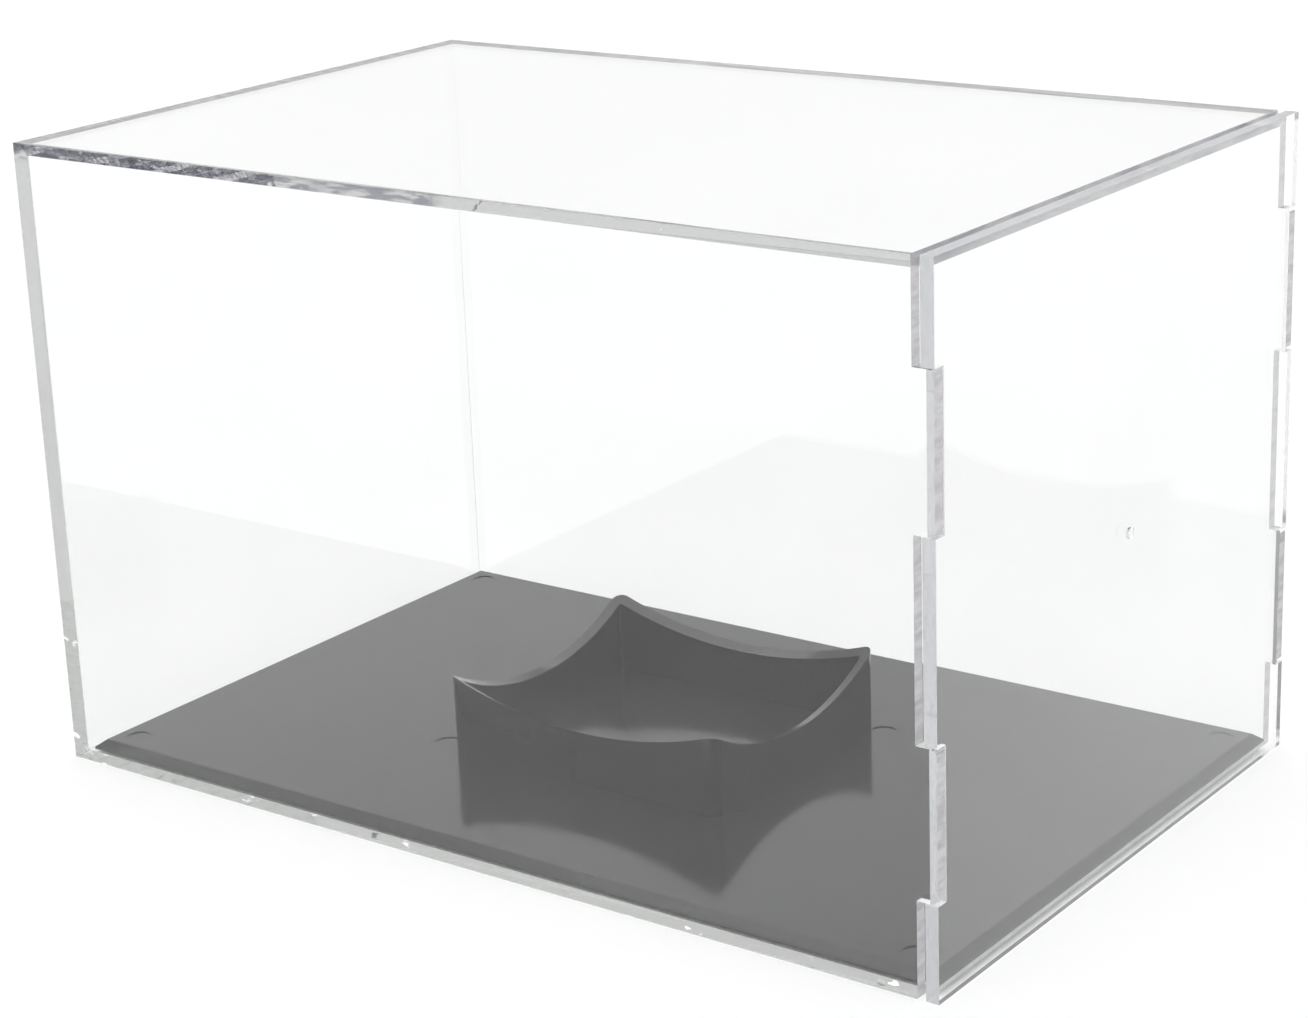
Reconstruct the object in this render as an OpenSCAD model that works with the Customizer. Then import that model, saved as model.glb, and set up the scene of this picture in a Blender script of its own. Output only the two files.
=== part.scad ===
// Clear display case for a full-size football: a mitred clear box with a
// removable right end panel, a black base insert and a black ball cradle.
// Origin at the centre of the underside, +X towards the removable end panel,
// +Y to the back, +Z up. Millimetres.

/* [Case] */
// Outside length, from the left end to the removable panel's outer face
case_l = 305; // [290:1:340]
// Outside depth, front to back
case_d = 195; // [185:1:220]
// Outside height
case_h = 189; // [185:1:220]
// Thickness of the clear walls
wall_t = 3.8; // [3:0.1:5]
// Thickness of the clear bottom panel
bottom_t = 2.4; // [2:0.1:4]
// Gap between the box's open end and the removable panel
end_gap = 2.4; // [0.5:0.1:3]

/* [Tabs and notches] */
// Height of each tab
tab_h = 41; // [25:1:45]
// How far a tab stops short of the removable panel's outer face
tab_short = 0.2; // [0.1:0.1:2]
// Radius of a tab's outer corners
tab_r = 1.6; // [0.5:0.1:2]
// Clearance round a tab in its notch
fit_gap = 0.2; // [0.1:0.05:0.4]

/* [Moulding gate] */
// Diameter of the gate's stub on the removable panel
gate_d = 3.2; // [2:0.1:5]
// Height of the gate's stub
gate_h = 0.6; // [0.3:0.1:0.9]

/* [Base insert] */
// Thickness of the base insert
base_t = 2.8; // [2:0.1:5]
// Gap between the base insert and the walls
base_gap = 1.4; // [0.8:0.1:4]
// Width of the bevel round the top of the base insert
bevel_w = 2.8; // [1:0.1:5]
// Height of the square lip below the bevel
lip_h = 0.6; // [0.4:0.1:1]
// Diameter of the round marks in the top of the base insert
mark_d = 7.4; // [5:0.1:9]
// Depth of the round marks
mark_deep = 0.3; // [0.2:0.05:0.5]

/* [Ball cradle] */
// Length of the cradle
cradle_l = 96; // [80:1:100]
// Depth of the cradle
cradle_d = 84; // [70:1:90]
// Thickness of the cradle's walls
cradle_wall = 3; // [2:0.1:5]
// Radius of the cradle's upright corners
cradle_r = 4; // [4:0.5:10]
// Length of the ball that the cradle's top edge is shaped to
ball_l = 281; // [270:1:286]
// Diameter of the ball that the cradle's top edge is shaped to
ball_d = 170; // [165:1:174]
// Clearance under the ball
ball_lift = 5; // [3:0.5:8]

/* [Hidden] */

clear = [0.86, 0.91, 0.93, 0.35];
black = [0.09, 0.09, 0.1];

// The case is centred on the origin in X and Y.
x_end = case_l / 2;
y_end = case_d / 2;
// Inner faces of the walls, and of the removable panel at +x_in.
x_in = x_end - wall_t;
y_in = y_end - wall_t;
z_in = case_h - wall_t;
// Open end of the box.
x_open = x_in - end_gap;
// Tabs sit a quarter of the height up and a quarter of the height down.
tab_z = [case_h / 4, 3 * case_h / 4];

base_x = x_in - base_gap;
base_y = y_in - base_gap;
base_top = bottom_t + base_t;
// Round marks: four near the corners and four beside the cradle.
mark_inset = 9.5;
mark_at_corner = [base_x - mark_inset, base_y - mark_inset];
mark_at_cradle = [cradle_l / 2 + 5.6, cradle_d / 2 - 4.8];

// The ball's outline is a circular arc turned about its long axis.
ball_z = base_top + ball_lift + ball_d / 2;
arc_r = (ball_l * ball_l + ball_d * ball_d) / (4 * ball_d);

// A block between two opposite corners.
module block(low, high) {
    translate(low) cube(high - low);
}

// Extrusions of an outline in YZ along X, in XZ along Y and in XY along Z.
module along_x(low, high) {
    translate([low, 0, 0]) rotate([90, 0, 90]) linear_extrude(high - low) children();
}

module along_y(low, high) {
    translate([0, high, 0]) rotate([90, 0, 0]) linear_extrude(high - low) children();
}

module along_z(low, high) {
    translate([0, 0, low]) linear_extrude(high - low) children();
}

// One tab of the front wall, reaching through the removable panel's notch.
module tab(z) {
    high = tab_h / 2;
    x_root = x_open - 1;
    x_tip = x_end - tab_short;
    along_y(-y_end, -y_in)
        translate([0, z]) {
            translate([x_root, -high]) square([x_tip - tab_r - x_root, 2 * high]);
            translate([x_root, tab_r - high]) square([x_tip - x_root, 2 * (high - tab_r)]);
            for (side = [-1, 1])
                translate([x_tip - tab_r, side * (high - tab_r)]) circle(tab_r, $fn = 48);
        }
}

// Front or back wall, mitred on three sides. Its two tabs carry the
// removable panel.
module side_panel() {
    intersection() {
        along_x(-x_end, x_open)
            polygon([[-y_end, 0], [-y_end, case_h], [-y_in, z_in], [-y_in, bottom_t]]);
        along_z(0, case_h)
            polygon([[-x_end, -y_end], [x_open, -y_end], [x_open, -y_in], [-x_in, -y_in]]);
    }
    for (z = tab_z) tab(z);
}

// Top or bottom wall, mitred on three sides, between the heights of its
// outer and inner faces.
module level_panel(z_outer, z_inner) {
    intersection() {
        along_x(-x_end, x_open)
            polygon([[-y_end, z_outer], [y_end, z_outer], [y_in, z_inner], [-y_in, z_inner]]);
        along_y(-y_end, y_end)
            polygon([[-x_end, z_outer], [x_open, z_outer], [x_open, z_inner], [-x_in, z_inner]]);
    }
}

module front_panel() {
    color(clear) side_panel();
}

module back_panel() {
    color(clear) mirror([0, 1, 0]) side_panel();
}

module left_end_panel() {
    color(clear)
        intersection() {
            along_z(0, case_h)
                polygon([[-x_end, -y_end], [-x_end, y_end], [-x_in, y_in], [-x_in, -y_in]]);
            along_y(-y_end, y_end)
                polygon([[-x_end, 0], [-x_end, case_h], [-x_in, z_in], [-x_in, bottom_t]]);
        }
}

module top_panel() {
    color(clear) level_panel(case_h, z_in);
}

module bottom_panel() {
    color(clear) level_panel(0, bottom_t);
}

// Removable end: a plate with four open notches for the tabs, and the stub
// of the moulding gate.
module right_end_panel() {
    color(clear) {
        difference() {
            block([x_in, -y_end, 0], [x_end, y_end, case_h]);
            for (z = tab_z, side = [0, 1])
                mirror([0, side, 0])
                    block([x_in - 1, -y_end - 1, z - tab_h / 2 - fit_gap],
                          [x_end + 1, -y_in + fit_gap, z + tab_h / 2 + fit_gap]);
        }
        translate([x_end, 0, case_h / 2]) rotate([0, 90, 0]) cylinder(h = gate_h, d = gate_d, $fn = 48);
    }
}

// Outline of the base insert seen end-on, half as wide as half_w.
module base_outline(half_w) {
    polygon([
        [-half_w, 0], [half_w, 0], [half_w, lip_h], [half_w - bevel_w, base_t],
        [bevel_w - half_w, base_t], [-half_w, lip_h]
    ]);
}

module base_insert() {
    color(black)
        translate([0, 0, bottom_t])
            difference() {
                intersection() {
                    along_y(-base_y, base_y) base_outline(base_x);
                    along_x(-base_x, base_x) base_outline(base_y);
                }
                for (at = [mark_at_corner, mark_at_cradle], sx = [-1, 1], sy = [-1, 1])
                    translate([sx * at.x, sy * at.y, base_t - mark_deep])
                        cylinder(h = 1, d = mark_d, $fn = 64);
            }
}

// Rounded rectangle, centred.
module rounded(l, d, r) {
    square([l - 2 * r, d], center = true);
    square([l, d - 2 * r], center = true);
    for (sx = [-1, 1], sy = [-1, 1])
        translate([sx * (l / 2 - r), sy * (d / 2 - r)]) circle(r, $fn = 64);
}

// The space that the ball takes.
module ball_space() {
    translate([0, 0, ball_z])
        rotate([0, 90, 0])
            rotate_extrude($fn = 120)
                intersection() {
                    translate([ball_d / 2 - arc_r, 0]) circle(arc_r, $fn = 240);
                    translate([0, -ball_l]) square([ball_d, 2 * ball_l]);
                }
}

// Four walls round an open well, with the top edge shaped to the ball.
module ball_cradle() {
    color(black)
        difference() {
            translate([0, 0, base_top])
                linear_extrude(ball_d / 4)
                    difference() {
                        rounded(cradle_l, cradle_d, cradle_r);
                        rounded(cradle_l - 2 * cradle_wall, cradle_d - 2 * cradle_wall, cradle_r - cradle_wall);
                    }
            ball_space();
        }
}

front_panel();
back_panel();
left_end_panel();
top_panel();
bottom_panel();
right_end_panel();
base_insert();
ball_cradle();
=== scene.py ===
"""Looks of the clear football display case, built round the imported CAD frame. Metres."""
from math import radians
import bpy
from mathutils import Matrix, Vector


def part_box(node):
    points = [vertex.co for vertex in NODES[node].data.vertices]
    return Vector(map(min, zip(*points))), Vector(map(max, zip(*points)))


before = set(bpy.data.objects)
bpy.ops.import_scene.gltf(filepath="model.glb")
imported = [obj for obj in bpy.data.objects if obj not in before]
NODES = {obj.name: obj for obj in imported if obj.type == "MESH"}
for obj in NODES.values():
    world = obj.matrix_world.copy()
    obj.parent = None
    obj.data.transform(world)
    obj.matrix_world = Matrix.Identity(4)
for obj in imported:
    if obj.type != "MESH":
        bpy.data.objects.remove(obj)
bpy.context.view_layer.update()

# ---------------------------------------------------------------- sizes taken from the frame
TOP_LOW, TOP_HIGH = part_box("top_panel")
BOX_LENGTH = TOP_HIGH.x - TOP_LOW.x

BOX_PANELS = ("front_panel", "back_panel", "left_end_panel", "top_panel", "bottom_panel")


# ---------------------------------------------------------------- camera
CAMERA_AT = Vector((0.4965, -0.6670, 0.3465))
CAMERA_TURN = radians(36.79)
CAMERA_TILT = radians(72.00)
CAMERA_ROLL = radians(-2.173)
LENS_MM = 82.3
SENSOR_MM = 36.0


def make_camera():
    data = bpy.data.cameras.new("camera")
    data.sensor_fit = "HORIZONTAL"
    data.sensor_width = SENSOR_MM
    data.lens = LENS_MM
    data.clip_start = 0.02
    data.clip_end = 50.0
    camera = bpy.data.objects.new("camera", data)
    bpy.context.scene.collection.objects.link(camera)
    turn = Matrix.Rotation(CAMERA_TURN, 4, "Z")
    tilt = Matrix.Rotation(CAMERA_TILT, 4, "X")
    roll = Matrix.Rotation(CAMERA_ROLL, 4, "Z")
    camera.matrix_world = Matrix.Translation(CAMERA_AT) @ turn @ tilt @ roll
    bpy.context.scene.camera = camera


# ---------------------------------------------------------------- node helpers
class Nodes:
    """Short names for making and joining the nodes of one tree."""

    def __init__(self, tree):
        self.tree = tree
        tree.nodes.clear()

    def add(self, kind, inputs=None, **settings):
        node = self.tree.nodes.new(kind)
        for name, value in settings.items():
            setattr(node, name, value)
        for name, value in (inputs or {}).items():
            self.feed(node.inputs[name], value)
        return node

    def feed(self, socket, value):
        if isinstance(value, bpy.types.NodeSocket):
            self.tree.links.new(value, socket)
        else:
            socket.default_value = value

    def math(self, operation, a, b=0.0):
        return self.add("ShaderNodeMath", {0: a, 1: b}, operation=operation).outputs[0]

    def span(self, value, low, high, to_low=0.0, to_high=1.0, smooth=False):
        """value mapped from low..high to to_low..to_high, held at the ends."""
        inputs = {"Value": value, "From Min": low, "From Max": high, "To Min": to_low, "To Max": to_high}
        kind = "SMOOTHSTEP" if smooth else "LINEAR"
        return self.add("ShaderNodeMapRange", inputs, interpolation_type=kind).outputs[0]

    def mix(self, factor, a, b):
        node = self.add("ShaderNodeMix", data_type="RGBA")
        for socket, value in zip((node.inputs[0], node.inputs[6], node.inputs[7]), (factor, a, b)):
            self.feed(socket, value)
        return node.outputs[2]

    def blend(self, factor, a, b):
        """Surface shader a, or b where factor is 1."""
        return self.add("ShaderNodeMixShader", {0: factor, 1: a, 2: b}).outputs[0]

    def noise(self, at, scale, detail=2.0, rough=0.5):
        inputs = {"Vector": at, "Scale": scale, "Detail": detail, "Roughness": rough}
        return self.add("ShaderNodeTexNoise", inputs).outputs["Fac"]

    def stretch(self, at, scale):
        return self.add("ShaderNodeMapping", {"Vector": at, "Scale": scale}).outputs[0]

    def place(self):
        return self.add("ShaderNodeTexCoord").outputs["Object"]

    def axes(self, vector):
        return self.add("ShaderNodeSeparateXYZ", {0: vector}).outputs


def new_material(name):
    material = bpy.data.materials.new(name)
    material.use_nodes = True
    return material, Nodes(material.node_tree)


def grey(level):
    return (level, level, level, 1.0)


# ---------------------------------------------------------------- clear plastic
ACRYLIC_IOR = 1.49
ACRYLIC_INSIDE = (0.665, 0.655, 0.665, 1)
STYRENE_IOR = 1.57
STYRENE_INSIDE = (0.56, 0.58, 0.60, 1)
# The absorption per metre is this times (1 - the inside colour).
ABSORPTION = 4.5
SURFACE_TINTS = (0.975, 0.982, 0.978, 1), (0.99, 0.993, 0.992, 1)
SHADOW_TINT = (0.95, 0.955, 0.95, 1)
# Share of a cut edge that scatters light like chalk, and the colours of its marks.
CHALK = 0.38
CHALK_TINTS = (0.56, 0.53, 0.60, 1), (0.86, 0.85, 0.87, 1)
# How dull a moulded edge is beside a cut one.
MOULDED_EDGE = 0.35
# A face whose normal lies this close to an axis is not a mitre.
ALONG_AXIS = 0.9
# Below this level of the noise the glue fills the joint.
GLUE_LEVEL = 0.68
CLEAR_GLUE = (0.96, 0.965, 0.96, 1)
DARK_GLUE = (0.70, 0.70, 0.74, 1)
# The dark streaks end over this part of the box's length and start over this part of its height.
STREAKS_END = 0.205, 0.225
STREAKS_START = 0.97, 0.98


def facing(n):
    """The true normal's components."""
    return n.axes(n.add("ShaderNodeNewGeometry").outputs["True Normal"])


def on_mitre(n):
    """1 on the sloping faces of a mitred joint."""
    x, y, z = (n.math("ABSOLUTE", part) for part in facing(n))
    return n.math("LESS_THAN", n.math("MAXIMUM", n.math("MAXIMUM", x, y), z), ALONG_AXIS)


def glue(n, at):
    """Where the glue fills a joint (1, or 0 at its bubbles), and the glue's colour.

    The glue has dark streaks at the left end of the top's joints.
    """
    filled = n.math("LESS_THAN", n.noise(at, 170.0, 3.0, 0.6), GLUE_LEVEL)
    x, _, z = n.axes(at)
    from_x, to_x = (TOP_LOW.x + part * BOX_LENGTH for part in STREAKS_END)
    from_z, to_z = (part * TOP_HIGH.z for part in STREAKS_START)
    streaked = n.math("MULTIPLY", n.span(x, from_x, to_x, 1.0, 0.0), n.span(z, from_z, to_z))
    drawn_out = n.stretch(at, (140.0, 500.0, 500.0))
    streaks = n.span(n.noise(drawn_out, 1.0, 4.0, 0.6), 0.47, 0.56, 1.0, 0.0)
    return filled, n.mix(n.math("MULTIPLY", streaked, streaks), CLEAR_GLUE, DARK_GLUE)


def saw_lines(n, at):
    """Fine marks across a cut edge."""
    return n.noise(n.stretch(at, (1500.0, 90.0, 400.0)), 1.0, 3.0)


def box_cut_edge(n, at):
    """1 on the faces at the box's open end, its tabs' tips among them."""
    towards_end = n.math("GREATER_THAN", facing(n)[0], ALONG_AXIS)
    return n.math("MULTIPLY", towards_end, n.math("GREATER_THAN", n.axes(at)[0], 0.0))


def end_cut_edge(n, at):
    """More than 0 on the narrow faces round the end panel, which are moulded."""
    narrow = n.math("LESS_THAN", n.math("ABSOLUTE", facing(n)[0]), 0.5)
    return n.math("MULTIPLY", narrow, MOULDED_EDGE)


def clear_roughness(n, at, lines, edge):
    """Nearly polished faces, and duller edges with saw lines."""
    polished = n.span(n.noise(at, 900.0), 0.5, 0.85, 0.0, 0.03)
    dull = n.span(lines, 0.3, 0.7, 0.06, 0.22)
    on_faces = n.math("MULTIPLY", polished, n.math("SUBTRACT", 1.0, edge))
    return n.math("ADD", on_faces, n.math("MULTIPLY", dull, edge))


def clear_plastic(name, ior, absorbs, cut_edge, glued):
    """Clear plastic. cut_edge(n, at) says how far a place is on a cut edge."""
    material, n = new_material(name)
    at = n.place()
    lines = saw_lines(n, at)
    edge = cut_edge(n, at)
    tint = n.mix(n.span(n.noise(at, 14.0, 3.0), 0.3, 0.7), *SURFACE_TINTS)
    rough = clear_roughness(n, at, lines, edge)
    clear = n.add("ShaderNodeBsdfPrincipled", {"Base Color": tint, "Roughness": rough})
    clear.inputs["Transmission Weight"].default_value = 1.0
    clear.inputs["IOR"].default_value = ior
    scatter = n.mix(n.span(lines, 0.35, 0.65), *CHALK_TINTS)
    chalky = n.add("ShaderNodeBsdfDiffuse", {"Color": scatter})
    surface = n.blend(n.math("MULTIPLY", edge, CHALK), clear.outputs[0], chalky.outputs[0])
    if glued:
        filled, colour = glue(n, at)
        joint = n.add("ShaderNodeBsdfTransparent", {"Color": colour})
        surface = n.blend(n.math("MULTIPLY", on_mitre(n), filled), surface, joint.outputs[0])
    in_shadow = n.add("ShaderNodeBsdfTransparent", {"Color": SHADOW_TINT})
    shadow_ray = n.add("ShaderNodeLightPath").outputs["Is Shadow Ray"]
    both = n.blend(shadow_ray, surface, in_shadow.outputs[0])
    inside = n.add("ShaderNodeVolumeAbsorption", {"Color": absorbs, "Density": ABSORPTION})
    n.add("ShaderNodeOutputMaterial", {"Surface": both, "Volume": inside.outputs[0]})
    return material


# ---------------------------------------------------------------- black plastic
def black_plastic(name, level, rough_low, rough_high):
    """Glossy black plastic with a faint grain."""
    material, n = new_material(name)
    at = n.place()
    cloud = n.span(n.noise(at, 30.0, 3.0), 0.3, 0.7)
    colour = n.mix(cloud, grey(level * 0.85), grey(level * 1.15))
    rough = n.span(n.noise(at, 260.0, 4.0), 0.3, 0.7, rough_low, rough_high)
    grain = {"Height": n.noise(at, 2200.0), "Strength": 0.02, "Distance": 0.0002}
    bump = n.add("ShaderNodeBump", grain).outputs[0]
    inputs = {"Base Color": colour, "Roughness": rough, "Normal": bump}
    shader = n.add("ShaderNodeBsdfPrincipled", inputs)
    n.add("ShaderNodeOutputMaterial", {"Surface": shader.outputs[0]})
    return material


# ---------------------------------------------------------------- finishing the CAD nodes
WELD_WITHIN = 0.000002
PANEL_GAP = 0.00002
BEVEL_OVER = radians(35)
SMOOTH_UNDER = radians(30)


def clean_shading(name, smooth_under):
    """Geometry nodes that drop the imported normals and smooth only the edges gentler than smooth_under."""
    group = bpy.data.node_groups.new(name, "GeometryNodeTree")
    group.interface.new_socket("Geometry", in_out="INPUT", socket_type="NodeSocketGeometry")
    group.interface.new_socket("Geometry", in_out="OUTPUT", socket_type="NodeSocketGeometry")
    n = Nodes(group)
    into = n.add("NodeGroupInput").outputs[0]
    bare = n.add("GeometryNodeRemoveAttribute", {"Geometry": into, "Name": "custom_normal"}).outputs[0]
    all_faces = {0: bare, "Shade Smooth": True}
    faces = n.add("GeometryNodeSetShadeSmooth", all_faces, domain="FACE").outputs[0]
    angle = n.add("GeometryNodeInputMeshEdgeAngle").outputs["Unsigned Angle"]
    limit = {0: angle, 1: smooth_under}
    gentle = n.add("FunctionNodeCompare", limit, data_type="FLOAT", operation="LESS_THAN").outputs[0]
    gentle_edges = {0: faces, "Shade Smooth": gentle}
    edges = n.add("GeometryNodeSetShadeSmooth", gentle_edges, domain="EDGE").outputs[0]
    n.add("NodeGroupOutput", {0: edges})
    return group


def weld(obj):
    obj.modifiers.new("weld", "WELD").merge_threshold = WELD_WITHIN


def shade(obj, shading):
    obj.modifiers.new("shading", "NODES").node_group = shading


def round_edges(obj, width, segments, keep_flats):
    """Rounded edges. keep_flats leaves the normals of the flat faces as they were."""
    bevel = obj.modifiers.new("edges", "BEVEL")
    bevel.width = width
    bevel.segments = segments
    bevel.limit_method = "ANGLE"
    bevel.angle_limit = BEVEL_OVER
    bevel.use_clamp_overlap = True
    bevel.miter_outer = "MITER_ARC"
    bevel.harden_normals = keep_flats


def leave_gap(obj):
    """A hair's breadth of air between a panel and its neighbours."""
    gap = obj.modifiers.new("gap", "DISPLACE")
    gap.mid_level = 0.0
    gap.strength = -PANEL_GAP


def put_material(obj, material):
    for entry in obj.material_slots:
        entry.material = material


def finish_clear(node, material, edge_width, segments):
    obj = NODES[node]
    put_material(obj, material)
    weld(obj)
    round_edges(obj, edge_width, segments, False)
    shade(obj, FLAT_FACES)
    leave_gap(obj)


def finish_black(node, material, edge_width, segments):
    obj = NODES[node]
    put_material(obj, material)
    weld(obj)
    shade(obj, SMOOTH_CURVES)
    round_edges(obj, edge_width, segments, True)


# ---------------------------------------------------------------- floor and light
FLOOR_SIZE = 60.0
# Just under the case, so that the two faces do not coincide.
FLOOR_HEIGHT = -0.0002
# Brightness of the sky near the horizon and overhead, and the heights between which it changes.
SKY_LOW = 0.95
SKY_HIGH = 0.35
SKY_CHANGE = 0.35, 0.85


def make_floor():
    bpy.ops.mesh.primitive_plane_add(size=FLOOR_SIZE, location=(0, 0, FLOOR_HEIGHT))
    floor = bpy.context.object
    floor.name = "floor"
    material, n = new_material("floor_white")
    cloud = n.span(n.noise(n.place(), 3.0), 0.3, 0.7)
    colour = n.mix(cloud, grey(0.9), grey(0.92))
    shader = n.add("ShaderNodeBsdfPrincipled", {"Base Color": colour, "Roughness": 0.9})
    shader.inputs["Specular IOR Level"].default_value = 0.1
    n.add("ShaderNodeOutputMaterial", {"Surface": shader.outputs[0]})
    floor.data.materials.append(material)


def make_world():
    world = bpy.data.worlds.new("studio")
    world.use_nodes = True
    n = Nodes(world.node_tree)
    up = n.axes(n.add("ShaderNodeTexCoord").outputs["Generated"])[2]
    sky = n.mix(n.span(up, *SKY_CHANGE, smooth=True), grey(SKY_LOW), grey(SKY_HIGH))
    light = n.add("ShaderNodeBackground", {"Color": sky, "Strength": 1.0})
    n.add("ShaderNodeOutputWorld", {"Surface": light.outputs[0]})
    bpy.context.scene.world = world


def soft_light(name, comes_from, spread, strength):
    """Even light from a wide patch of sky, the same all over the floor."""
    data = bpy.data.lights.new(name, "SUN")
    data.angle = spread
    data.energy = strength
    lamp = bpy.data.objects.new(name, data)
    bpy.context.scene.collection.objects.link(lamp)
    lamp.rotation_euler = Vector(comes_from).to_track_quat("Z", "Y").to_euler()


def set_up_renderer():
    """Enough bounces for light that is guided along the inside of a whole panel."""
    bpy.context.scene.view_settings.view_transform = "Standard"
    cycles = bpy.context.scene.cycles
    cycles.max_bounces = BOUNCES
    cycles.transmission_bounces = BOUNCES
    cycles.glossy_bounces = BOUNCES
    cycles.transparent_max_bounces = BOUNCES


# ---------------------------------------------------------------- the scene
BOUNCES = 72
FLAT_FACES = clean_shading("flat_faces", 0.0)
SMOOTH_CURVES = clean_shading("smooth_curves", SMOOTH_UNDER)

# Edge widths: a hair on the glued panels and the base insert, more on the moulded pieces.
SHARP_EDGE = 0.00012
MOULDED_ROUND = 0.0003

panel_clear = clear_plastic("acrylic_clear", ACRYLIC_IOR, ACRYLIC_INSIDE, box_cut_edge, True)
end_clear = clear_plastic("styrene_clear", STYRENE_IOR, STYRENE_INSIDE, end_cut_edge, False)
base_black = black_plastic("base_black", 0.014, 0.08, 0.16)
cradle_black = black_plastic("cradle_black", 0.018, 0.1, 0.2)
for panel in BOX_PANELS:
    finish_clear(panel, panel_clear, SHARP_EDGE, 2)
finish_clear("right_end_panel", end_clear, MOULDED_ROUND, 3)
finish_black("base_insert", base_black, SHARP_EDGE, 2)
finish_black("ball_cradle", cradle_black, MOULDED_ROUND, 2)

make_camera()
make_floor()
make_world()
soft_light("overhead", (-0.2, 0.2, 1.0), radians(70), 1.9)
set_up_renderer()
